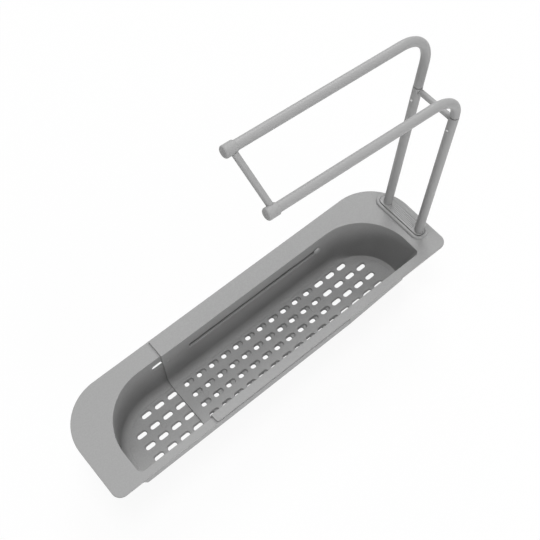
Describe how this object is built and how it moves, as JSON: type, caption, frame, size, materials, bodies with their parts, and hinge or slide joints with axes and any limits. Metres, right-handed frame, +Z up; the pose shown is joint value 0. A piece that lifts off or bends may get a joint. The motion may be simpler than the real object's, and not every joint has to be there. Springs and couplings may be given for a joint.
{
  "type": "expandable sink rack",
  "caption": "Telescopic sink rack: nested drain trays slide apart to span a sink, and a plug-in frame at one end carries stepped towel rails.",
  "frame": {"origin": "underside of the left tray's floor, below the middle of the closed rack", "axes": "+X along the rack to the towel frame, +Y to the wide rear rim, +Z up"},
  "size_m": [0.3563, 0.092, 0.2836],
  "materials": {
    "tray": "fine matt grey moulding",
    "stud": "smooth grey moulding",
    "frame_fittings": "smooth grey moulding",
    "tube": "satin grey coating",
    "spring_steel": "plain steel"
  },
  "bodies": {
    "left_section": {"left_tray": "tray", "left_front_stud": "stud", "left_rear_stud": "stud"},
    "right_section": {"right_tray": "tray", "right_front_stud": "stud", "right_rear_stud": "stud"},
    "towel_frame": {"foot_plate": "frame_fittings", "front_leg": "tube", "rear_leg": "tube", "leg_crossbar": "tube", "low_rail": "tube", "high_rail": "tube", "low_end_cap": "frame_fittings", "high_end_cap": "frame_fittings", "end_crossbar": "tube", "low_button_spring": "spring_steel", "high_button_spring": "spring_steel"},
    "low_button": {"low_snap_button": "spring_steel"},
    "high_button": {"high_snap_button": "spring_steel"}
  },
  "joints": [
    {"name": "tray_slide", "type": "slide", "parent": "left_section", "child": "right_section", "axis": [1, 0, 0], "range_m": [0, 0.136]},
    {"name": "frame_lift", "type": "slide", "parent": "right_section", "child": "towel_frame", "axis": [0.1167, 0, 0.9932], "range_m": [0, 0.012]},
    {"name": "low_button_press", "type": "slide", "parent": "towel_frame", "child": "low_button", "axis": [0.9932, 0, -0.1167], "range_m": [0, 0.0012], "stiffness_N_per_m": 800, "deforming": ["low_button_spring"]},
    {"name": "high_button_press", "type": "slide", "parent": "towel_frame", "child": "high_button", "axis": [0.9932, 0, -0.1167], "range_m": [0, 0.0012], "stiffness_N_per_m": 800, "deforming": ["high_button_spring"]}
  ]
}
